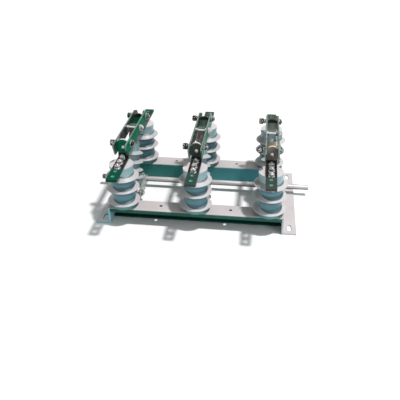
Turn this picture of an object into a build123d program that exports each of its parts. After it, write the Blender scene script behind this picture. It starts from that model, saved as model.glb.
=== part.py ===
"""Three-pole knife disconnect switch on a low steel base frame, shown closed.

X runs across the poles, Y from the front terminals (negative) to the rear ones, and Z up from the
floor. The middle pole stands at X = 0. All lengths are in millimetres.
"""

import os
from math import hypot

from build123d import *

os.makedirs("parts", exist_ok=True)

# Layout of the poles: each has a front post and a rear post
pole_spacing = 250.0
post_setback = 170.0
poles = {"left": -1, "middle": 0, "right": 1}

# Clearances and the overrun of cuts
running_gap = 0.05
seat_gap = 0.1
slide_gap = 0.3
overrun = 1.0

# Base beams: folded sheet, open outward, with a lip and a foot
beam_height = 64.0
beam_depth = 67.0
beam_wall = 5.0
beam_bend = 8.0
beam_lip = 15.0
beam_foot = 20.0
beam_end_margin = 46.0
beam_hole = 11.0
beam_hole_spacing = 242.0

# End angles that close the beams and carry the bolting slots
angle_wall = 5.0
angle_bend = 8.0
angle_flange = 51.0
angle_corner = 4.0
slot_width = 14.0
slot_length = 36.0
slot_margin = 35.0
angle_tail = 21.5

# Drive shaft and its bearings
shaft_diameter = 20.0
shaft_stub = 53.0
shaft_chamfer = 1.5
shaft_seat_diameter = 19.0
shaft_seat_length = 42.0
shaft_setback = 66.0
shaft_height = 34.0
bearing_wall = 5.0
bearing_overhang = 8.0
bearing_flange = 7.0
bearing_flange_length = 4.0

# Post insulators
post_height = 159.0
post_base_diameter = 84.0
post_base_height = 12.0
post_core_diameter = 79.0
post_cap_diameter = 82.0
post_cap_height = 7.0
post_shed_diameter = 112.0
post_shed_lip = 5.0
post_shed_slope = 13.0
post_shed_hollow = 3.0
post_shed_shares = (0.112, 0.431, 0.705)

# Flat bar of the terminals and contacts
bar_width = 36.0
bar_thickness = 8.0
bar_bend = 14.0
terminal_reach = 127.5
terminal_hole = 13.0
terminal_hole_margin = 24.0
terminal_hole_spacing = 34.0
terminal_corner = 3.0
tab_setback = 44.0
tab_rise = 23.0
tab_flat = 2.0

# Blades: two plates on a hinge, gripping the upright tab
hinge_setback = 128.0
hinge_rise = 49.0
blade_width = 44.0
blade_thickness = 5.0
blade_nose = 68.0
blade_nose_slant = 21.0
blade_corner = 5.0
contact_bolt_setback = 12.0
cheek_thickness = 5.0

# Bolts across the blades
bolt_diameter = 12.0
bolt_tail = 4.0
pin_head_height = 4.0
nut_width = 19.0
nut_height = 9.0
knob_diameter = 22.0
knob_length = 17.0
knob_neck = 8.0
knob_round = 5.0
knob_round_limit_share = 0.8
spacer_diameter = 17.0

# Drive cranks on the shaft
crank_reach = 108.0
crank_gap = 44.0
crank_wall = 6.0
crank_hub_diameter = 36.0
crank_tip_diameter = 32.0

# Insulated drive rods between cranks and blades
eye_width = 24.0
eye_diameter = 26.0
fitting_diameter = 34.0
fitting_taper = 13.0
lower_fitting_length = 48.0
upper_fitting_length = 60.0
rod_core_diameter = 42.0
rod_shed_diameter = 70.0
rod_shed_lip = 4.0
rod_shed_slope = 8.0
rod_shed_hollow = 2.0
rod_shed_shares = (0.075, 0.265, 0.485, 0.73)

# Places that follow from the sizes above
beam_half = pole_spacing + beam_end_margin
frame_half = beam_half + angle_flange
shaft_half = frame_half + shaft_stub
web_y = post_setback - beam_depth / 2
edge_y = post_setback + beam_depth / 2
angle_end_y = edge_y + angle_tail
post_top = beam_height + post_height
hinge_y = hinge_setback
hinge_front_y = hinge_y - blade_width / 2
hinge_z = post_top + hinge_rise
blade_half_gap = bar_width / 2 + slide_gap
blade_half = blade_half_gap + blade_thickness
tab_back_y = tab_setback - post_setback
tab_top = hinge_z + tab_rise
terminal_end = post_setback + terminal_reach
contact_bolt_y = tab_back_y + contact_bolt_setback
blade_tip_y = contact_bolt_y - blade_nose
rod_top_y = hinge_y - crank_reach
rod_foot_y = shaft_setback - crank_reach
rod_length = hypot(rod_top_y - rod_foot_y, hinge_z - shaft_height)
rod_lean_y = (rod_top_y - rod_foot_y) / rod_length
rod_lean_z = (hinge_z - shaft_height) / rod_length
terminal_hole_ys = (
    terminal_end - terminal_hole_margin,
    terminal_end - terminal_hole_margin - terminal_hole_spacing,
)


def save(piece, name):
    piece.part.label = name
    export_step(piece.part, f"parts/{name}.step")


def shed_outline(core, rim, lip, slope, hollow, heights):
    """Points up the side of an insulator, from below its lowest shed to above its top one."""
    points = []
    for height in heights:
        points += [
            (core, height + hollow),
            (rim - lip / 2, height),
            (rim, height + lip / 2),
            (rim - lip / 2, height + lip),
            (core, height + lip + slope),
        ]
    return points


def lathe_profile(x, y, z, stations):
    """Half outline of a turned piece on an axis along X, from a list of start, end and radius."""
    with BuildSketch(Plane((x, y, z), x_dir=(1, 0, 0), z_dir=(0, -1, 0))) as profile:
        with BuildLine():
            points = [(stations[0][0], 0)]
            for start, end, radius in stations:
                points += [(start, radius), (end, radius)]
            points.append((stations[-1][1], 0))
            Polyline(*points, close=True)
        make_face()
    return profile.sketch


# Beams: one folded profile, mirrored to the front
for row_name, side in {"front": -1, "rear": 1}.items():
    with BuildPart() as beam:
        with BuildSketch(Plane.YZ):
            with BuildLine():
                FilletPolyline(
                    (side * (web_y + beam_foot), 0),
                    (side * web_y, 0),
                    (side * web_y, beam_height),
                    (side * edge_y, beam_height),
                    (side * edge_y, beam_height - beam_lip),
                    radius=beam_bend,
                )
                offset(amount=beam_wall, side=Side.RIGHT if side > 0 else Side.LEFT)
            make_face()
        extrude(amount=beam_half, both=True)
        with Locations((0, side * post_setback, beam_height)):
            with GridLocations(beam_hole_spacing, 0, 2, 1):
                Hole(radius=beam_hole / 2, depth=beam_wall + overrun)
    save(beam, f"{row_name}_beam")

# End angles: upright leg across the beam ends, slotted flange on the floor
for side_name, side in {"left": -1, "right": 1}.items():
    with BuildPart() as angle:
        with BuildSketch(Plane.XZ):
            with BuildLine():
                FilletPolyline(
                    (side * beam_half, beam_height),
                    (side * beam_half, 0),
                    (side * frame_half, 0),
                    radius=angle_bend,
                )
                offset(amount=angle_wall, side=Side.LEFT if side > 0 else Side.RIGHT)
            make_face()
        extrude(amount=edge_y)
        extrude(angle.faces().sort_by(Axis.Y)[-1], amount=angle_end_y)
        with BuildSketch(Plane.XY):
            slot_x = side * (frame_half + beam_half + angle_wall) / 2
            with Locations((slot_x, slot_margin - edge_y), (slot_x, angle_end_y - slot_margin)):
                SlotOverall(slot_length, slot_width, rotation=90)
        extrude(amount=angle_wall + overrun, both=True, mode=Mode.SUBTRACT)
        with BuildSketch(Plane.YZ.offset(side * beam_half)):
            with Locations((shaft_setback, shaft_height)):
                Circle(shaft_diameter / 2 + running_gap + bearing_wall + seat_gap)
        extrude(amount=angle_wall + overrun, both=True, mode=Mode.SUBTRACT)
        fillet(
            angle.edges().filter_by(Axis.Z).group_by(SortBy.DISTANCE)[-1],
            radius=angle_corner,
        )
    save(angle, f"{side_name}_end_angle")

# Bearings: flanged bushes in the end angles
for side_name, side in {"left": -1, "right": 1}.items():
    bush_radius = shaft_diameter / 2 + running_gap + bearing_wall
    inner = beam_half - bearing_overhang
    outer = beam_half + angle_wall + bearing_overhang
    with BuildPart() as bearing:
        with BuildSketch(Plane.YZ.offset(side * inner)):
            with Locations((shaft_setback, shaft_height)):
                Circle(bush_radius)
        extrude(amount=side * (outer - inner))
        with BuildSketch(Plane.YZ.offset(side * beam_half)):
            with Locations((shaft_setback, shaft_height)):
                Circle(bush_radius + bearing_flange)
        extrude(amount=-side * bearing_flange_length)
        with BuildSketch(Plane.YZ.offset(side * inner)):
            with Locations((shaft_setback, shaft_height)):
                Circle(shaft_diameter / 2 + running_gap)
        extrude(amount=outer - inner + overrun, both=True, mode=Mode.SUBTRACT)
    save(bearing, f"{side_name}_shaft_bearing")

# Drive shaft, with a turned seat for a lever at each end
with BuildPart() as shaft:
    with BuildSketch(Plane.YZ):
        with Locations((shaft_setback, shaft_height)):
            Circle(shaft_diameter / 2)
    extrude(amount=shaft_half - shaft_seat_length, both=True)
    with BuildSketch(Plane.YZ):
        with Locations((shaft_setback, shaft_height)):
            Circle(shaft_seat_diameter / 2)
    extrude(amount=shaft_half, both=True)
    end_edges = shaft.edges().filter_by(GeomType.CIRCLE).group_by(Axis.X)
    chamfer(end_edges[0] + end_edges[-1], length=shaft_chamfer)
save(shaft, "main_shaft")

for pole, place in poles.items():
    pole_x = place * pole_spacing

    # Post insulators
    for row_name, side in {"front": -1, "rear": 1}.items():
        shed_heights = [beam_height + share * post_height for share in post_shed_shares]
        with BuildPart() as post:
            with BuildSketch(Plane((pole_x, side * post_setback, 0), x_dir=(1, 0, 0), z_dir=(0, -1, 0))):
                with BuildLine():
                    Polyline(
                        (0, beam_height),
                        (post_base_diameter / 2, beam_height),
                        (post_base_diameter / 2, beam_height + post_base_height),
                        *shed_outline(
                            post_core_diameter / 2,
                            post_shed_diameter / 2,
                            post_shed_lip,
                            post_shed_slope,
                            post_shed_hollow,
                            shed_heights,
                        ),
                        (post_core_diameter / 2, post_top - 2 * post_cap_height),
                        (post_cap_diameter / 2, post_top - post_cap_height),
                        (post_cap_diameter / 2, post_top),
                        (0, post_top),
                        close=True,
                    )
                make_face()
            revolve(axis=Axis((pole_x, side * post_setback, 0), (0, 0, 1)))
        save(post, f"{row_name}_{pole}_post")

    # Fixed contact: bar bent up into a round-topped tab, with the front terminal
    with BuildPart() as contact:
        with BuildSketch(Plane.YZ.offset(pole_x)):
            with BuildLine():
                FilletPolyline(
                    (-terminal_end, post_top),
                    (tab_back_y, post_top),
                    (tab_back_y, tab_top),
                    radius=bar_bend,
                )
                offset(amount=bar_thickness, side=Side.LEFT)
            make_face()
        extrude(amount=bar_width / 2, both=True)
        with BuildSketch(Plane.XY.offset(post_top)):
            with Locations(*[(pole_x, -hole_y) for hole_y in terminal_hole_ys]):
                Circle(terminal_hole / 2)
        extrude(amount=bar_thickness + overrun, both=True, mode=Mode.SUBTRACT)
        fillet(
            contact.edges().filter_by(Axis.Y).group_by(Axis.Z)[-1],
            radius=(bar_width - tab_flat) / 2,
        )
        fillet(
            contact.edges().filter_by(Axis.Z).group_by(Axis.Y)[0],
            radius=terminal_corner,
        )
    save(contact, f"{pole}_fixed_contact")

    # Hinge base: flat bar with the rear terminal, and an upright channel that holds the hinge bolt
    with BuildPart() as hinge_base:
        with BuildSketch(Plane.XY.offset(post_top)):
            with Locations((pole_x, (terminal_end + hinge_front_y) / 2)):
                Rectangle(bar_width, terminal_end - hinge_front_y)
            with Locations(*[(pole_x, hole_y) for hole_y in terminal_hole_ys]):
                Circle(terminal_hole / 2, mode=Mode.SUBTRACT)
        extrude(amount=bar_thickness)
        for cheek in (-1, 1):
            with BuildSketch(Plane.YZ.offset(pole_x + cheek * bar_width / 2)):
                with Locations((hinge_y, (post_top + hinge_z) / 2)):
                    Rectangle(blade_width, hinge_z - post_top)
                with Locations((hinge_y, hinge_z)):
                    Circle(blade_width / 2)
                    Circle(bolt_diameter / 2 + running_gap, mode=Mode.SUBTRACT)
            extrude(amount=-cheek * cheek_thickness)
        with BuildSketch(Plane.XZ.offset(-hinge_front_y)):
            with Locations((pole_x, (post_top + hinge_z) / 2)):
                Rectangle(bar_width, hinge_z - post_top)
            with Locations((pole_x, hinge_z)):
                Circle(bar_width / 2)
        extrude(amount=-cheek_thickness)
        fillet(
            hinge_base.edges().filter_by(Axis.Z).group_by(Axis.Y)[-1],
            radius=terminal_corner,
        )
    save(hinge_base, f"{pole}_hinge_base")

    # Blade: two plates with a rounded heel and a slanted nose
    for plate_name, side in {"left": -1, "right": 1}.items():
        with BuildPart() as plate:
            with BuildSketch(Plane.YZ.offset(pole_x + side * blade_half_gap)) as outline:
                with BuildLine():
                    Polyline(
                        (hinge_y, hinge_z - blade_width / 2),
                        (blade_tip_y + blade_nose_slant, hinge_z - blade_width / 2),
                        (blade_tip_y, hinge_z + blade_width / 2),
                        (hinge_y, hinge_z + blade_width / 2),
                        close=True,
                    )
                make_face()
                fillet(outline.vertices().sort_by(Axis.X)[:2], radius=blade_corner)
                with Locations((hinge_y, hinge_z)):
                    Circle(blade_width / 2)
                with Locations(
                    (hinge_y, hinge_z), (contact_bolt_y, hinge_z), (rod_top_y, hinge_z)
                ):
                    Circle(bolt_diameter / 2 + seat_gap, mode=Mode.SUBTRACT)
            extrude(amount=side * blade_thickness)
        save(plate, f"{pole}_blade_{plate_name}_plate")

    # Hinge and contact bolts, each with a round knob on the left and a nut on the right
    for bolt_name, bolt_y in {"hinge": hinge_y, "contact": contact_bolt_y}.items():
        neck_end = blade_half + knob_neck
        knob_shoulder = (knob_diameter - bolt_diameter) / 2
        bolt_profile = lathe_profile(
            pole_x,
            bolt_y,
            hinge_z,
            [
                (-neck_end - knob_length, -neck_end, knob_diameter / 2),
                (-neck_end, blade_half + nut_height + bolt_tail, bolt_diameter / 2),
            ],
        )
        with BuildPart() as bolt:
            revolve(bolt_profile, axis=Axis((pole_x, bolt_y, hinge_z), (1, 0, 0)))
            fillet(
                bolt.edges().filter_by(GeomType.CIRCLE).filter_by(
                    lambda edge: edge.radius > bolt_diameter / 2
                ),
                radius=min(knob_round, knob_round_limit_share * knob_shoulder),
            )
            with BuildSketch(Plane.YZ.offset(pole_x + blade_half)):
                with Locations((bolt_y, hinge_z)):
                    RegularPolygon(nut_width / 2, 6, major_radius=False)
            extrude(amount=nut_height)
        save(bolt, f"{pole}_{bolt_name}_bolt")

    # Pins at the two ends of the drive rod: a low head, shoulders beside the eye and a nut
    pins = {
        "drive_pin": (rod_top_y, hinge_z, blade_half_gap, blade_half),
        "crank_pin": (rod_foot_y, shaft_height, crank_gap / 2, crank_gap / 2 + crank_wall),
    }
    for pin_name, (pin_y, pin_z, inside, outside) in pins.items():
        pin_profile = lathe_profile(
            pole_x,
            pin_y,
            pin_z,
            [
                (-outside - pin_head_height, -outside, nut_width / 2),
                (-outside, -inside, bolt_diameter / 2),
                (-inside, -eye_width / 2 - slide_gap, spacer_diameter / 2),
                (-eye_width / 2 - slide_gap, eye_width / 2 + slide_gap, bolt_diameter / 2),
                (eye_width / 2 + slide_gap, inside, spacer_diameter / 2),
                (inside, outside + nut_height + bolt_tail, bolt_diameter / 2),
            ],
        )
        with BuildPart() as pin:
            revolve(pin_profile, axis=Axis((pole_x, pin_y, pin_z), (1, 0, 0)))
            with BuildSketch(Plane.YZ.offset(pole_x + outside)):
                with Locations((pin_y, pin_z)):
                    RegularPolygon(nut_width / 2, 6, major_radius=False)
            extrude(amount=nut_height)
        save(pin, f"{pole}_{pin_name}")

    # Crank: two cheeks on a hub
    with BuildPart() as crank:
        with BuildSketch(Plane.YZ.offset(pole_x)):
            with Locations((shaft_setback, shaft_height)):
                Circle(crank_hub_diameter / 2)
        extrude(amount=crank_gap / 2 + crank_wall, both=True)
        for side in (-1, 1):
            with BuildSketch(Plane.YZ.offset(pole_x + side * crank_gap / 2)):
                with Locations((shaft_setback, shaft_height)):
                    Circle(crank_hub_diameter / 2)
                with Locations((rod_foot_y, shaft_height)):
                    Circle(crank_tip_diameter / 2)
                make_hull()
                with Locations((rod_foot_y, shaft_height)):
                    Circle(bolt_diameter / 2 + seat_gap, mode=Mode.SUBTRACT)
            extrude(amount=side * crank_wall)
        with BuildSketch(Plane.YZ.offset(pole_x)):
            with Locations((shaft_setback, shaft_height)):
                Circle(shaft_diameter / 2 + seat_gap)
        extrude(amount=crank_gap + crank_wall, both=True, mode=Mode.SUBTRACT)
    save(crank, f"{pole}_crank")

    # Drive rod insulator, leaning from the crank pin to the blade
    rod_end = rod_length - upper_fitting_length
    shed_span = rod_end - lower_fitting_length
    shed_places = [lower_fitting_length + share * shed_span for share in rod_shed_shares]
    rod_foot = (pole_x, rod_foot_y, shaft_height)
    with BuildPart() as rod:
        with BuildSketch(Plane(rod_foot, x_dir=(1, 0, 0), z_dir=(0, -rod_lean_z, rod_lean_y))):
            with BuildLine():
                Polyline(
                    (0, lower_fitting_length),
                    (rod_core_diameter / 2, lower_fitting_length),
                    *shed_outline(
                        rod_core_diameter / 2,
                        rod_shed_diameter / 2,
                        rod_shed_lip,
                        rod_shed_slope,
                        rod_shed_hollow,
                        shed_places,
                    ),
                    (rod_core_diameter / 2, rod_end),
                    (0, rod_end),
                    close=True,
                )
            make_face()
        revolve(axis=Axis(rod_foot, (0, rod_lean_y, rod_lean_z)))
    save(rod, f"{pole}_rod_insulator")

    # Metal fittings of the drive rod: a turned boss and a flat eye
    fittings = {
        "upper": (rod_top_y, hinge_z, -1, upper_fitting_length),
        "lower": (rod_foot_y, shaft_height, 1, lower_fitting_length),
    }
    for fitting_name, (pin_y, pin_z, sense, length) in fittings.items():
        eye = (pole_x, pin_y, pin_z)
        along_y = sense * rod_lean_y
        along_z = sense * rod_lean_z
        boss_start = eye_diameter / 2 + fitting_taper
        with BuildPart() as fitting:
            with BuildSketch(Plane(eye, x_dir=(1, 0, 0), z_dir=(0, -along_z, along_y))):
                with BuildLine():
                    Polyline(
                        (0, eye_diameter / 2),
                        (eye_width / 2, eye_diameter / 2),
                        (fitting_diameter / 2, boss_start),
                        (fitting_diameter / 2, length),
                        (0, length),
                        close=True,
                    )
                make_face()
            revolve(axis=Axis(eye, (0, along_y, along_z)))
            with BuildSketch(Plane(eye, x_dir=(0, along_z, -along_y), z_dir=(1, 0, 0))):
                Circle(eye_diameter / 2)
                with Locations((0, boss_start / 2)):
                    Rectangle(eye_diameter, boss_start)
            extrude(amount=eye_width / 2, both=True)
            with BuildSketch(Plane(eye, x_dir=(0, along_z, -along_y), z_dir=(1, 0, 0))):
                Circle(bolt_diameter / 2 + running_gap)
            extrude(amount=eye_width / 2 + overrun, both=True, mode=Mode.SUBTRACT)
        save(fitting, f"{pole}_rod_{fitting_name}_fitting")
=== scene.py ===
import math

import bmesh
import bpy
from mathutils import Matrix, Vector


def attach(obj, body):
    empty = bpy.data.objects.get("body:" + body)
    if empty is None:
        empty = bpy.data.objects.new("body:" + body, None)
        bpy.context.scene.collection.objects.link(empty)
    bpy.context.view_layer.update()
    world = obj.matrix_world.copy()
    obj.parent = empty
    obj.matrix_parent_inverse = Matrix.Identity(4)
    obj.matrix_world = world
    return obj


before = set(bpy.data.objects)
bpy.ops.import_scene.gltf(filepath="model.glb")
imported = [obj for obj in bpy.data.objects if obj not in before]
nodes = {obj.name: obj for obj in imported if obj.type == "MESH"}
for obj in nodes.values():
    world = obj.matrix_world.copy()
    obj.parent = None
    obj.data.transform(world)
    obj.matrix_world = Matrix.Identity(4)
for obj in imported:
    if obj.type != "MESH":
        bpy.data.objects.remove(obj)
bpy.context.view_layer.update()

scene = bpy.context.scene

# Places of the solids that the added pieces sit on, in metres; pairs are (y, z)
POLE_SPACING = 0.250
POLES = {"left": -POLE_SPACING, "middle": 0.0, "right": POLE_SPACING}
POST_Y = 0.170
BEAM_UNDER = 0.059
BEAM_HALF = 0.296
WEB_Y = 0.1365
BAR_TOP = 0.231
TAB_FACE_Y = -0.134
RIVET_HEIGHT = 0.266
HINGE = (0.128, 0.272)
CONTACT = (-0.114, 0.272)
DRIVE = (0.020, 0.272)
CRANK_PIN = (-0.042, 0.034)
SHAFT = (0.066, 0.034)
BLADE_HALF = 0.0233

UP, DOWN = (0, 0, 1), (0, 0, -1)
LEFT, RIGHT, FRONT = (-1, 0, 0), (1, 0, 0), (0, -1, 0)

# The usual range of a noise texture's values
NOISE_SPAN = (0.3, 0.7)

# Where the posts' resin changes, as (start, end) in metres: heights, then the radius of the sheds
POST_FOOT = (0.0755, 0.0765)
RING_SHIFT = (0.160, 0.170)
TOP_SHED = (0.172, 0.176)
CAP_SIDE = (0.1795, 0.182)
CAP_TOP = (0.200, 0.222)
CAP_RIM = (0.208, 0.222)
SHED_EDGE = (0.0510, 0.0530)
# Shaded necks of the core, as the height where a shade starts and the shed's foot where it ends
CORE_SHADES = ((0.114, 0.136), (0.158, 0.179))
# Painted shadow of the shed above: inside an off-centre ring the shed tops stay dark as painted
# shade, outside it they turn pale as painted light; its place across and along, its radius, and how
# far back it moves on the top shed
RING_X, RING_Y, RING_RADIUS = 0.005, -0.012, 0.0375
RING_BACK = 0.006


# Materials

def shaded(colour, share):
    return tuple(c * share for c in colour)


class Nodes:
    """A node tree, with short calls for the nodes that the materials and the world share."""

    def __init__(self, tree):
        self.tree = tree

    def add(self, kind):
        return self.tree.nodes.new("ShaderNode" + kind)

    def put(self, value, socket):
        """Links an output to a socket, or sets a constant on it."""
        if hasattr(value, "is_linked"):
            self.tree.links.new(value, socket)
        else:
            socket.default_value = value

    def math(self, operation, *values):
        node = self.add("Math")
        node.operation = operation
        for value, socket in zip(values, node.inputs):
            self.put(value, socket)
        return node.outputs["Value"]

    def times(self, a, b):
        return self.math("MULTIPLY", a, b)

    def larger(self, a, b):
        return self.math("MAXIMUM", a, b)

    def size(self, value):
        return self.math("ABSOLUTE", value)

    def length(self, a, b):
        """Length of a level vector from its two parts."""
        return self.math("SQRT", self.math("ADD", self.times(a, a), self.times(b, b)))

    def remap(self, value, start, end, to_start, to_end):
        node = self.add("MapRange")
        node.interpolation_type = "SMOOTHSTEP"
        ends = {"From Min": start, "From Max": end, "To Min": to_start, "To Max": to_end}
        for key, number in ends.items():
            self.put(number, node.inputs[key])
        self.put(value, node.inputs["Value"])
        return node.outputs["Result"]

    def rise(self, value, start, end, most=1.0):
        return self.remap(value, start, end, 0.0, most)

    def fall(self, value, start, end, most=1.0):
        return self.remap(value, start, end, most, 0.0)

    def mix(self, factor, a, b):
        node = self.add("Mix")
        node.data_type = "RGBA"
        self.put(factor, next(s for s in node.inputs if s.name == "Factor"))
        for key, colour in (("A", a), ("B", b)):
            socket = next(s for s in node.inputs if s.name == key and s.type == "RGBA")
            self.put((*colour, 1.0) if isinstance(colour, tuple) else colour, socket)
        return next(s for s in node.outputs if s.type == "RGBA")

    def studio_ray(self):
        """1 for rays from the camera, from gloss and through glass, and 0 for lighting."""
        path = self.add("LightPath")
        shown = self.larger(path.outputs["Is Camera Ray"], path.outputs["Is Glossy Ray"])
        return self.larger(shown, path.outputs["Is Transmission Ray"])


class Surface(Nodes):
    """A new material with its shader, the object's own coordinates and its normal."""

    def __init__(self, name):
        self.material = bpy.data.materials.new(name)
        self.material.use_nodes = True
        super().__init__(self.material.node_tree)
        self.shader = self.tree.nodes["Principled BSDF"]
        self.coords = self.add("TexCoord")
        self.x, self.y, self.z = self.parts("Object")
        self.normal_x, self.normal_y, self.normal_z = self.parts("Normal")

    def parts(self, output):
        split = self.add("SeparateXYZ")
        self.put(self.coords.outputs[output], split.inputs["Vector"])
        return split.outputs

    def set(self, name, value):
        self.put(value, self.shader.inputs[name])

    def noise(self, scale, detail=4.0, rough=0.55, stretch=None):
        source = self.coords.outputs["Object"]
        if stretch:
            mapping = self.add("Mapping")
            self.put(stretch, mapping.inputs["Scale"])
            self.put(source, mapping.inputs["Vector"])
            source = mapping.outputs["Vector"]
        node = self.add("TexNoise")
        settings = {"Scale": scale, "Detail": detail, "Roughness": rough, "Vector": source}
        for key, value in settings.items():
            self.put(value, node.inputs[key])
        return node.outputs["Fac"]

    def across_pole(self):
        """Distance along X from the nearest pole."""
        return self.math("WRAP", self.x, POLE_SPACING / 2, -POLE_SPACING / 2)

    def roughness(self, pattern, low, high):
        self.set("Roughness", self.remap(pattern, *NOISE_SPAN, low, high))

    def bump(self, height, strength, distance):
        node = self.add("Bump")
        settings = {"Strength": strength, "Distance": distance, "Height": height}
        for key, value in settings.items():
            self.put(value, node.inputs[key])
        self.set("Normal", node.outputs["Normal"])


def steel_with_painted_light(name, top, side, side_right, under, pale_from, painted_light_left=None):
    """Folded steel, pale on the upward faces above a given height; its sides carry green painted
    shade with a painted reflection of the green floor, darker underneath, and change from left to
    right as painted light.
    """
    s = Surface(name)
    pale_edge = 0.004
    left_flange = (-0.31, -0.29)
    cloud, speck = s.noise(9.0), s.noise(160.0, 3.0)
    # Sides and undersides: green painted shade with a painted reflection of the green floor, darker
    # underneath, changing from left to right as painted light
    sides = s.mix(s.rise(s.x, POLES["left"], POLES["right"]), side, side_right)
    sides = s.mix(s.rise(cloud, *NOISE_SPAN, 0.25), sides, side_right)
    low = s.mix(s.fall(s.normal_z, -0.7, -0.2), sides, under)
    tops = s.mix(s.rise(cloud, 0.35, 0.7), top, shaded(top, 0.9))
    # A brighter left flange: painted light
    if painted_light_left:
        tops = s.mix(s.fall(s.x, *left_flange), tops, painted_light_left)
    # Upward faces below pale_from keep the side colour: painted shade on the low faces
    upward = s.rise(s.normal_z, 0.45, 0.85)
    pale = s.times(upward, s.rise(s.z, pale_from, pale_from + pale_edge))
    colour = s.mix(pale, low, tops)
    colour = s.mix(s.rise(speck, 0.62, 0.75, 0.25), colour, shaded(top, 0.6))
    s.set("Base Color", colour)
    s.set("Specular IOR Level", 0.25)
    s.roughness(speck, 0.42, 0.58)
    s.bump(speck, 0.12, 0.0006)
    return s.material


def post_bands(s, slope, sloping, cap_top):
    """Colours of a post, with painted light and shade: its slopes, its tops, and how much of a top
    is pale.
    """
    row = s.times(s.math("SIGN", s.y), POST_Y)
    from_pole, from_row = s.across_pole(), s.math("SUBTRACT", s.y, row)
    ring_y = s.remap(s.z, *RING_SHIFT, RING_Y, RING_Y + RING_BACK)
    from_ring = s.math("SUBTRACT", from_pole, RING_X)
    radius = s.length(from_ring, s.math("SUBTRACT", from_row, ring_y))

    # Tops: painted light outside the ring, painted shade on the left with a painted shadow on the
    # top shed and a painted highlight along the rims, and plain on the cap
    rightward = s.rise(s.x, -0.3, 0.3)
    lit = s.mix(rightward, (0.43, 0.415, 0.43), (0.48, 0.465, 0.475))
    dim = s.mix(rightward, (0.39, 0.385, 0.38), (0.26, 0.28, 0.285))
    dim = s.mix(s.rise(s.z, *TOP_SHED, 0.4), dim, (0.07, 0.07, 0.075))
    dim = s.mix(s.rise(s.length(from_pole, from_row), *SHED_EDGE, 0.65), dim, lit)
    sheds = s.mix(s.rise(from_ring, -0.045, 0.005), dim, lit)
    tops = s.mix(s.rise(s.z, *CAP_TOP), sheds, cap_top)
    outside = s.rise(radius, RING_RADIUS - 0.002, RING_RADIUS + 0.002)
    pale = s.larger(outside, s.rise(s.z, *CAP_RIM))

    # Slopes: the cap's side, a dark line of painted shade inside the ring, a green foot, and
    # painted shade on the necks under the sheds
    cap = s.mix(sloping, (0.235, 0.365, 0.385), (0.14, 0.235, 0.255))
    slope = s.mix(s.rise(s.z, *CAP_SIDE), slope, cap)
    line = s.rise(radius, RING_RADIUS - 0.0055, RING_RADIUS - 0.0025, 0.85)
    slope = s.mix(s.times(sloping, line), slope, (0.035, 0.075, 0.085))
    slope = s.mix(s.fall(s.z, *POST_FOOT, 0.8), slope, (0.075, 0.24, 0.22))
    for shade_from, shed_foot in CORE_SHADES:
        shade = s.rise(s.z, shade_from, shade_from + 0.007, 0.5)
        shade = s.times(shade, s.fall(s.z, shed_foot, shed_foot + 0.001))
        slope = s.mix(shade, slope, (0.02, 0.07, 0.08))
    return slope, tops, pale


def resin(name, core, posts):
    """Glazed resin of the insulators: blue grey, with pale rims and tops as painted light, and
    painted shade on the slopes and undersides.
    """
    s = Surface(name)
    cloud, fine = s.noise(14.0), s.noise(220.0, 2.0)
    side = s.mix(s.rise(cloud, *NOISE_SPAN), core, shaded(core, 1.25))
    # Darker undersides and blue slopes: painted shade
    low = s.mix(s.fall(s.normal_z, -0.8, -0.1), side, (0.04, 0.10, 0.12))
    sloping = s.rise(s.normal_z, 0.2, 0.7)
    slope = s.mix(sloping, low, (0.085, 0.165, 0.19))
    tops = s.mix(s.rise(cloud, 0.35, 0.65), (0.61, 0.575, 0.59), (0.56, 0.53, 0.545))
    # The rods' upward faces take this share of the pale top colour: painted light
    pale = 0.6
    if posts:
        slope, tops, pale = post_bands(s, slope, sloping, tops)
    # Upward faces turn pale: painted light
    upward = s.times(s.rise(s.normal_z, 0.1, 0.6), pale)
    s.set("Base Color", s.mix(upward, slope, tops))
    s.roughness(fine, 0.40, 0.52)
    s.set("Coat Weight", 0.06)
    s.set("Coat Roughness", 0.35)
    s.bump(fine, 0.05, 0.0004)
    return s.material


def metal(name, light, dark, patch_scale, patch_span, rough, metallic,
          stretch=None, painted_shade_left_end=None, under=None):
    """Plated metal with dull patches and fine scratches.

    The left end and the underside get painted shade in other colours if those are given.
    """
    s = Surface(name)
    shaft_end = (-0.345, -0.315)
    patch = s.noise(patch_scale, 5.0, 0.6, stretch)
    fine = s.noise(420.0, 2.0, 0.5, stretch)
    colour = s.mix(s.rise(patch, *patch_span), light, dark)
    # Painted shade on the left end
    if painted_shade_left_end:
        colour = s.mix(s.fall(s.x, *shaft_end), colour, painted_shade_left_end)
    # Painted shade on the underside
    if under:
        colour = s.mix(s.fall(s.normal_z, -0.35, 0.25), colour, under)
    s.set("Base Color", colour)
    s.set("Metallic", metallic)
    s.roughness(fine, rough, rough + 0.16)
    s.bump(fine, 0.06, 0.0003)
    return s.material


def rod_fitting(name, plain, right, brass, band, bright_from):
    """Cast fitting, paler and with a brass band at the right pole.

    From a given height up it has a bright ring, and above that a dark head.
    """
    s = Surface(name)
    band_edge = 0.003
    cloud, fine = s.noise(70.0), s.noise(420.0, 2.0)
    low, high = band
    in_band = s.times(s.rise(s.z, low, low + band_edge), s.fall(s.z, high - band_edge, high))
    rightward = s.rise(s.x, 0.10, 0.15)
    colour = s.mix(s.rise(cloud, 0.4, 0.62), plain, shaded(plain, 0.6))
    colour = s.mix(rightward, colour, right)
    colour = s.mix(s.times(in_band, rightward), colour, brass)
    ring = s.rise(s.z, bright_from, bright_from + 0.001)
    colour = s.mix(ring, colour, (0.88, 0.87, 0.86))
    head = s.rise(s.z, bright_from + 0.0035, bright_from + 0.0045)
    s.set("Base Color", s.mix(head, colour, (0.07, 0.10, 0.08)))
    s.set("Metallic", 0.35)
    s.roughness(fine, 0.28, 0.42)
    s.bump(fine, 0.06, 0.0003)
    return s.material


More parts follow.
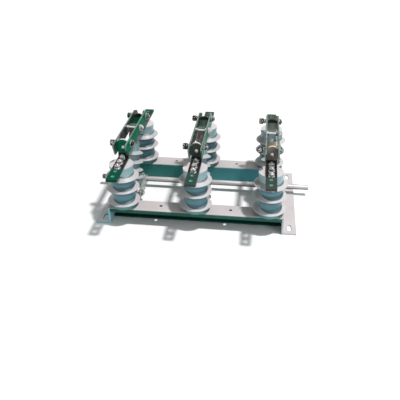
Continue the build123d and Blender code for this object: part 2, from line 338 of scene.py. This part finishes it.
def contact_bar(name, light, dark, rim, lacquer, rim_from, right_share, middle_darkening, painted_shade_from=None):
    """Dark tinned bar with bright rims above a given height and green bores, whose green walls are
    a painted reflection of the green floor.

    Its green lacquer is strongest at the left pole and fades to a share at the right pole; the
    middle pole's upright is darker, and above another height, if one is given, the upright's front
    takes a dark head of painted shade.
    """
    s = Surface(name)
    edge = 0.006
    pad = (0.222, 0.236)
    pad_end = (0.284, 0.290)
    bore_radius = (0.0068, 0.0078)
    patch = s.noise(30.0, 3.0, 0.5, (1.0, 0.45, 0.45))
    fine = s.noise(420.0, 2.0, 0.5)
    along, face_on = s.size(s.y), s.size(s.normal_y)
    on_pad = s.rise(along, *pad)
    upright = s.rise(s.z, rim_from, rim_from + edge)

    bare = s.mix(s.rise(patch, 0.35, 0.65), light, dark)
    # Near black on the flat between the pad and the upright: painted shade between the bolts
    bare = s.mix(s.larger(on_pad, upright), shaded(dark, 0.3), bare)
    bare = s.mix(on_pad, bare, (0.045, 0.058, 0.053))
    coat = s.larger(on_pad, s.times(upright, face_on))
    coat = s.times(coat, s.remap(s.x, -0.22, 0.16, 1.0, right_share))
    colour = s.mix(coat, bare, s.mix(upright, lacquer, shaded(lacquer, 3.0)))
    middle_darkened = s.times(s.fall(s.size(s.x), 0.03, 0.08, middle_darkening), upright)
    colour = s.mix(middle_darkened, colour, (0.01, 0.013, 0.011))
    # The dark head is painted shade of the recess at the top of the upright's front
    if painted_shade_from:
        head = s.times(s.rise(s.z, painted_shade_from, painted_shade_from + edge, 0.9), face_on)
        colour = s.mix(head, colour, (0.012, 0.016, 0.013))
    colour = s.mix(s.times(upright, s.fall(face_on, 0.4, 0.8)), colour, rim)
    # Bore walls painted green: a painted reflection of the green floor
    bore = s.times(s.fall(s.size(s.across_pole()), *bore_radius), on_pad)
    wall = s.times(s.fall(s.size(s.normal_z), 0.1, 0.3), s.fall(along, *pad_end))
    colour = s.mix(s.times(bore, wall), colour, (0.13, 0.46, 0.36))

    s.set("Base Color", colour)
    s.set("Metallic", s.fall(coat, 0.0, 1.0, 0.35))
    s.set("Specular IOR Level", 0.02)
    s.roughness(fine, 0.24, 0.36)
    s.bump(fine, 0.05, 0.0003)
    return s.material


def lacquered_blade(name, face, bare, rim):
    """Green lacquer outside on a blade plate, dark bare metal inside, bright cut edges."""
    s = Surface(name)
    inner_side = (-0.004, 0.004)
    cloud, fine = s.noise(22.0), s.noise(300.0, 2.0)
    broad = s.rise(s.size(s.normal_x), 0.7, 0.9)
    outward = s.times(s.across_pole(), s.normal_x)
    patch = s.rise(cloud, 0.35, 0.65)
    faces = s.mix(patch, face, shaded(face, 0.72))
    bares = s.mix(patch, bare, shaded(bare, 0.45))
    rims = s.mix(patch, rim, shaded(rim, 0.6))
    sides = s.mix(s.fall(outward, *inner_side), faces, bares)
    s.set("Base Color", s.mix(broad, rims, sides))
    bare_metal = s.times(broad, s.fall(outward, *inner_side, 0.9))
    s.set("Metallic", s.larger(s.fall(broad, 0.0, 1.0, 0.8), bare_metal))
    s.set("Specular IOR Level", 0.0015)
    s.roughness(fine, 0.09, 0.15)
    s.bump(fine, 0.06, 0.0003)
    return s.material


PALE = (0.55, 0.505, 0.505)
materials = {
    # Frame colours: the front beam's very dark green sides are painted shade under its top flange,
    # the rear beam's sides lighten to the right as painted light, the end angles' bluer left sides
    # and paler left flange are painted light, the under colours are painted shade, and pale_from
    # keeps the low upward faces in painted shade
    "front_frame": steel_with_painted_light(
        "front_frame_steel", PALE, side=(0.002, 0.060, 0.042), side_right=(0.008, 0.085, 0.065),
        under=(0.002, 0.016, 0.011), pale_from=0.056),
    "rear_frame": steel_with_painted_light(
        "rear_frame_steel", PALE, side=(0.012, 0.145, 0.115), side_right=(0.055, 0.25, 0.285),
        under=(0.01, 0.05, 0.04), pale_from=0.056),
    "end_frame": steel_with_painted_light(
        "end_frame_steel", PALE, side=(0.22, 0.50, 0.56), side_right=(0.40, 0.46, 0.48),
        under=(0.03, 0.09, 0.08), pale_from=-0.01, painted_light_left=(0.72, 0.67, 0.66)),
    "post": resin("post_resin", core=(0.062, 0.172, 0.212), posts=True),
    "rod": resin("rod_resin", core=(0.135, 0.24, 0.24), posts=False),
    "zinc": metal(
        "zinc_plate", light=(0.68, 0.68, 0.67), dark=(0.17, 0.18, 0.18),
        patch_scale=90.0, patch_span=(0.44, 0.62), rough=0.20, metallic=0.7),
    # The shaft's dark left end and grey underside are painted shade
    "shaft": metal(
        "galvanised_shaft", light=(0.54, 0.52, 0.52), dark=(0.38, 0.375, 0.37),
        patch_scale=40.0, patch_span=(0.4, 0.7), rough=0.38, metallic=0.45,
        stretch=(0.25, 1.0, 1.0), painted_shade_left_end=(0.09, 0.085, 0.08), under=(0.13, 0.15, 0.14)),
    "tin": contact_bar(
        "tinned_contact", light=(0.27, 0.235, 0.22), dark=(0.085, 0.085, 0.078),
        rim=(0.62, 0.60, 0.58), lacquer=(0.001, 0.058, 0.033),
        rim_from=0.243, right_share=0.0, middle_darkening=0.65),
    "hinge": contact_bar(
        "tinned_hinge", light=(0.35, 0.38, 0.34), dark=(0.20, 0.225, 0.195),
        rim=(0.07, 0.065, 0.055), lacquer=(0.003, 0.045, 0.026),
        rim_from=0.240, right_share=0.18, middle_darkening=0.0, painted_shade_from=0.272),
    "crank": metal(
        "dull_crank", light=(0.42, 0.46, 0.43), dark=(0.20, 0.24, 0.22),
        patch_scale=30.0, patch_span=(0.42, 0.66), rough=0.34, metallic=0.5),
    "knob": metal(
        "dark_knob", light=(0.46, 0.47, 0.46), dark=(0.012, 0.014, 0.013),
        patch_scale=150.0, patch_span=(0.40, 0.52), rough=0.14, metallic=0.85),
    "fitting": rod_fitting(
        "rod_fitting", plain=(0.15, 0.135, 0.125), right=(0.27, 0.34, 0.345),
        brass=(0.33, 0.22, 0.12), band=(0.226, 0.248), bright_from=0.2765),
    "nut": metal(
        "dull_nut", light=(0.30, 0.33, 0.33), dark=(0.14, 0.16, 0.16),
        patch_scale=90.0, patch_span=(0.42, 0.62), rough=0.24, metallic=0.6),
    "blade": lacquered_blade(
        "blade_lacquer", face=(0.0003, 0.145, 0.078), bare=(0.30, 0.33, 0.31),
        rim=(0.22, 0.31, 0.27)),
}

# Material of each CAD node by the end of its name; all others are zinc
FINISHES = {
    "front_beam": "front_frame", "rear_beam": "rear_frame", "end_angle": "end_frame",
    "_post": "post", "rod_insulator": "rod", "main_shaft": "shaft", "fixed_contact": "tin",
    "hinge_base": "hinge", "plate": "blade", "hinge_bolt": "knob", "contact_bolt": "knob",
    "fitting": "fitting", "_crank": "crank",
}
for node_name, node_object in nodes.items():
    finish = next((f for end, f in FINISHES.items() if node_name.endswith(end)), "zinc")
    node_object.data.materials.clear()
    node_object.data.materials.append(materials[finish])


# Added pieces, each one joined mesh

def ring_loft(bm, rings):
    """Joins rings of points with quads, in order, and caps the first and last ring."""
    made = [[bm.verts.new(p) for p in ring] for ring in rings]
    count = len(made[0])
    for a, b in zip(made, made[1:]):
        for i in range(count):
            j = (i + 1) % count
            bm.faces.new((a[i], a[j], b[j], b[i]))
    bm.faces.new(list(reversed(made[0])))
    bm.faces.new(made[-1])


def circle(centre, u, v, radius, sides, twist=0.0):
    """Points of a regular polygon around a centre, in the plane of u and v."""
    angles = [twist + 2 * math.pi * i / sides for i in range(sides)]
    return [centre + (u * math.cos(angle) + v * math.sin(angle)) * radius for angle in angles]


def basis(axis):
    axis = Vector(axis).normalized()
    side = axis.orthogonal().normalized()
    if abs(axis.z) < 0.5:
        side = Vector(UP).cross(axis).normalized()
    return axis, side, axis.cross(side)


def turned(bm, origin, axis, stations, sides, twist=0.0):
    """A turned or hexagonal solid from a list of (distance along the axis, radius)."""
    along, u, v = basis(axis)
    ring_loft(bm, [circle(Vector(origin) + along * distance, u, v, radius, sides, twist)
                   for distance, radius in stations])


def washer(bm, origin, axis, outer, thickness):
    edge = thickness * 0.25
    stations = [(0, outer), (thickness - edge, outer), (thickness, outer - edge)]
    turned(bm, origin, axis, stations, 32)


def hexagon(bm, origin, axis, flats, height, twist=0.0):
    """A hexagon nut or head with its corners turned off."""
    corner = flats / math.sqrt(3)
    cut = height * 0.14
    stations = [(0, corner * 0.95), (cut, corner), (height - cut, corner), (height, corner * 0.9)]
    turned(bm, origin, axis, stations, 6, twist)


def bolt_head(bm, origin, axis, flats, height, tail=0.0, twist=0.0):
    """Washer, spring washer and hexagon head, with the bolt's end standing out if it has a tail."""
    along = Vector(axis).normalized()
    origin = Vector(origin)
    washer_height, lock_height = flats * 0.12, flats * 0.11
    washer(bm, origin, axis, flats * 0.64, washer_height)
    washer(bm, origin + along * washer_height, axis, flats * 0.50, lock_height)
    start = origin + along * (washer_height + lock_height)
    hexagon(bm, start, axis, flats, height, twist)
    if tail:
        radius = flats * 0.31
        stations = [(0, radius), (tail * 0.8, radius), (tail, radius * 0.82)]
        turned(bm, start + along * height, axis, stations, 20)


def spring(bm, origin, axis, length, radius, wire, turns):
    """A closed helix of round wire."""
    wire_sides, steps = 8, 18
    along, u, v = basis(axis)
    total = int(turns * steps)
    rings = []
    for i in range(total + 1):
        angle = 2 * math.pi * i / steps
        out = u * math.cos(angle) + v * math.sin(angle)
        rise = wire + (length - 2 * wire) * i / total
        centre = Vector(origin) + along * rise + out * radius
        rings.append(circle(centre, out, along, wire, wire_sides))
    ring_loft(bm, rings)


def weld(bm, start, end, into, size):
    """A bead with ripples along a corner; into points from the corner to the open side."""
    bead_sides, ripple, pitch, end_share = 8, 0.14, 2.1, 0.55
    start, end, into = Vector(start), Vector(end), Vector(into).normalized()
    run = end - start
    across = run.normalized().cross(into)
    steps = max(6, int(run.length / (size * 0.35)))
    rings = []
    for i in range(steps + 1):
        swell = size * (1.0 - ripple + ripple * math.sin(i * pitch))
        if i in (0, steps):
            swell *= end_share
        rings.append(circle(start + run * (i / steps), into, across, swell, bead_sides))
    ring_loft(bm, rings)


def finish_piece(bm, name, body, material):
    bmesh.ops.recalc_face_normals(bm, faces=bm.faces)
    mesh = bpy.data.meshes.new(name)
    bm.to_mesh(mesh)
    bm.free()
    piece = bpy.data.objects.new(name, mesh)
    scene.collection.objects.link(piece)
    mesh.materials.append(materials[material])
    for face in mesh.polygons:
        face.use_smooth = True
    mesh.set_sharp_from_angle(angle=math.radians(32))
    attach(piece, body)


# Bolts that hold the contact bars on the posts, with a rivet on each tab
CONTACT_BOLTS = {-0.150: 0.15, -0.184: 0.75, -0.217: 0.40}  # place along Y and turn of the head
CONTACT_FLATS = 0.0165
HINGE_BASE_BOLTS_Y = (POST_Y - 0.004, POST_Y + 0.034)
HINGE_BASE_FLATS = 0.018
BOLT_HEIGHT, BOLT_TAIL = 0.0075, 0.004
RIVET = [(0, 0.0062), (0.0012, 0.0060), (0.0024, 0.0046), (0.003, 0.0022)]
for pole, x in POLES.items():
    bm = bmesh.new()
    for y, twist in CONTACT_BOLTS.items():
        bolt_head(bm, (x, y, BAR_TOP), UP, CONTACT_FLATS, BOLT_HEIGHT, BOLT_TAIL, twist + x)
    turned(bm, (x, TAB_FACE_Y, RIVET_HEIGHT), FRONT, RIVET, 24)
    finish_piece(bm, f"{pole}_contact_bolts", "base", "zinc")
    bm = bmesh.new()
    for y in HINGE_BASE_BOLTS_Y:
        bolt_head(bm, (x, y, BAR_TOP), UP, HINGE_BASE_FLATS, BOLT_HEIGHT, BOLT_TAIL)
    finish_piece(bm, f"{pole}_hinge_base_bolts", "base", "zinc")

# Bolts that hold the posts on the beams
FOOT_FLATS, FOOT_HEIGHT = 0.019, 0.008
bm = bmesh.new()
for x in POLES.values():
    for y in (-POST_Y, POST_Y):
        bolt_head(bm, (x, y, BEAM_UNDER), DOWN, FOOT_FLATS, FOOT_HEIGHT)
finish_piece(bm, "post_foot_bolts", "base", "zinc")

# Welds between the beams and the end angles: one up each web, one along under each top
WELD_SIZE = 0.0028
WEB_WELD_Z = (0.010, 0.056)
TOP_WELD_Y = (WEB_Y + 0.010, 0.196)
TOP_WELD_Z = 0.0588
bm = bmesh.new()
for side in (-1, 1):
    for row in (-1, 1):
        x = side * BEAM_HALF
        ends = [(x, row * WEB_Y, z) for z in WEB_WELD_Z]
        weld(bm, *ends, (-side, -row, 0), WELD_SIZE)
        ends = [(x, row * y, TOP_WELD_Z) for y in TOP_WELD_Y]
        weld(bm, *ends, (-side, 0, -1), WELD_SIZE)
finish_piece(bm, "frame_welds", "base", "end_frame")

# Screws in the bearing flanges
SCREW_CIRCLE, SCREW_FLATS, SCREW_HEIGHT = 0.0186, 0.0058, 0.0030
FLANGE_FACE = BEAM_HALF - 0.004
bm = bmesh.new()
for side in (-1, 1):
    for turn in (45, 135, 225, 315):
        angle = math.radians(turn)
        y = SHAFT[0] + SCREW_CIRCLE * math.cos(angle)
        z = SHAFT[1] + SCREW_CIRCLE * math.sin(angle)
        hexagon(bm, (side * FLANGE_FACE, y, z), (-side, 0, 0), SCREW_FLATS, SCREW_HEIGHT)
finish_piece(bm, "bearing_screws", "base", "zinc")

# Set bolts of the cranks, and washers on the crank pins
SET_BOLT_X, SET_BOLT_LIFT, SET_BOLT_FLATS, SET_BOLT_HEIGHT = 0.014, 0.0172, 0.010, 0.007
PIN_WASHER_X, PIN_WASHER_RADIUS, WASHER_THICKNESS = 0.028, 0.0125, 0.0022
for pole, x in POLES.items():
    bm = bmesh.new()
    for dx in (-SET_BOLT_X, SET_BOLT_X):
        seat = (x + dx, SHAFT[0], SHAFT[1] + SET_BOLT_LIFT)
        hexagon(bm, seat, UP, SET_BOLT_FLATS, SET_BOLT_HEIGHT)
    for side in (-1, 1):
        seat = (x + side * PIN_WASHER_X, *CRANK_PIN)
        washer(bm, seat, (side, 0, 0), PIN_WASHER_RADIUS, WASHER_THICKNESS)
    finish_piece(bm, f"{pole}_crank_fasteners", "shaft", "zinc")

# Springs and washers on the blade bolts
SPRING_SEAT = BLADE_HALF + 0.0002
SPRING_LENGTH, SPRING_RADIUS, SPRING_WIRE, SPRING_TURNS = 0.0078, 0.0078, 0.0012, 2.6
BLADE_WASHER_RADIUS = 0.0130
for pole, x in POLES.items():
    bm = bmesh.new()
    for place in (HINGE, CONTACT):
        spring(bm, (x - SPRING_SEAT, *place), LEFT, SPRING_LENGTH, SPRING_RADIUS, SPRING_WIRE,
               SPRING_TURNS)
        washer(bm, (x + BLADE_HALF, *place), RIGHT, BLADE_WASHER_RADIUS, WASHER_THICKNESS)
    washer(bm, (x + BLADE_HALF, *DRIVE), RIGHT, PIN_WASHER_RADIUS, WASHER_THICKNESS)
    finish_piece(bm, f"{pole}_blade_fasteners", f"{pole}_blade", "zinc")

# Lock nuts between the drive rods and their upper fittings
NUT_DROP, NUT_FLATS, NUT_HEIGHT = 0.060, 0.040, 0.009
NUT_WASHER_DROP, NUT_WASHER_RADIUS, NUT_WASHER_THICKNESS = 0.051, 0.0195, 0.002
for pole, x in POLES.items():
    foot, top = Vector((x, *CRANK_PIN)), Vector((x, *DRIVE))
    lean = (top - foot).normalized()
    bm = bmesh.new()
    hexagon(bm, top - lean * NUT_DROP, lean, NUT_FLATS, NUT_HEIGHT)
    washer(bm, top - lean * NUT_WASHER_DROP, lean, NUT_WASHER_RADIUS, NUT_WASHER_THICKNESS)
    finish_piece(bm, f"{pole}_rod_lock_nut", f"{pole}_rod", "nut")


# Floor: pale paper that glows a little far out, where the lamps don't reach
WHITE = (1.0, 1.0, 1.0, 1.0)
FLOOR_HALF, FLOOR_CELLS = 9.0, 8
FAR_LIFT, FAR_SPAN = 0.55, (0.5, 5.0)
mesh = bpy.data.meshes.new("floor")
bm = bmesh.new()
bmesh.ops.create_grid(bm, x_segments=FLOOR_CELLS, y_segments=FLOOR_CELLS, size=FLOOR_HALF)
bm.to_mesh(mesh)
bm.free()
floor = bpy.data.objects.new("floor", mesh)
scene.collection.objects.link(floor)
paper = Surface("floor_paper")
grain = paper.rise(paper.noise(3.0, 3.0), *NOISE_SPAN)
paper.set("Base Color", paper.mix(grain, (0.93, 0.93, 0.93), (0.90, 0.90, 0.90)))
paper.set("Roughness", 0.9)
paper.set("Emission Color", WHITE)
lift = paper.rise(paper.length(paper.x, paper.y), *FAR_SPAN, FAR_LIFT)
paper.set("Emission Strength", paper.times(paper.studio_ray(), lift))
mesh.materials.append(paper.material)

# Light: a world that is white to the eye and dimmer as a lamp, a key from above and a weak fill
WORLD_LIGHT = 0.36
world = bpy.data.worlds.new("studio")
scene.world = world
world.use_nodes = True
sky = Nodes(world.node_tree)
background = world.node_tree.nodes["Background"]
sky.put(WHITE, background.inputs["Color"])
strength = sky.remap(sky.studio_ray(), 0.0, 1.0, WORLD_LIGHT, 1.0)
sky.put(strength, background.inputs["Strength"])


def area_light(name, place, target, size, energy, colour):
    data = bpy.data.lights.new(name, "AREA")
    data.shape = "DISK"
    data.size = size
    data.energy = energy
    data.color = colour
    lamp = bpy.data.objects.new(name, data)
    scene.collection.objects.link(lamp)
    lamp.location = place
    lamp.rotation_mode = "QUATERNION"
    lamp.rotation_quaternion = (Vector(target) - Vector(place)).to_track_quat("-Z", "Y")


area_light("key", place=(2.6, -0.8, 7.6), target=(0, 0, 0.1),
           size=0.6, energy=600.0, colour=(1.0, 0.985, 0.98))
area_light("fill", place=(2.6, -2.2, 1.5), target=(0, 0, 0.15),
           size=2.0, energy=30.0, colour=(0.86, 0.96, 1.0))

# Camera at the photo's angle, fitted to the photo's frame
FRAME_PX = 400.0
FOCAL_PX = 518.5
CENTRE_PX = (201.36, 170.33)
SENSOR_MM = 36.0
AIM, DISTANCE = (0, 0, 0.12), 1.90965
azimuth, elevation, roll = math.radians(6.95), math.radians(28.62), math.radians(-0.28)
scene.view_settings.view_transform = "Standard"
level = math.cos(elevation)
back = Vector((math.sin(azimuth) * level, -math.cos(azimuth) * level, math.sin(elevation)))
right = Vector((math.cos(azimuth), math.sin(azimuth), 0))
up = back.cross(right)
right, up = (right * math.cos(roll) + up * math.sin(roll),
             up * math.cos(roll) - right * math.sin(roll))
cam_data = bpy.data.cameras.new("camera")
cam_data.sensor_width = SENSOR_MM
cam_data.lens = FOCAL_PX * SENSOR_MM / FRAME_PX
cam_data.shift_x = (FRAME_PX / 2 - CENTRE_PX[0]) / FRAME_PX
cam_data.shift_y = (CENTRE_PX[1] - FRAME_PX / 2) / FRAME_PX
cam_data.clip_end = 50.0
camera = bpy.data.objects.new("camera", cam_data)
scene.collection.objects.link(camera)
turn = Matrix((right, up, back)).transposed().to_4x4()
camera.matrix_world = Matrix.Translation(Vector(AIM) + back * DISTANCE) @ turn
scene.camera = camera
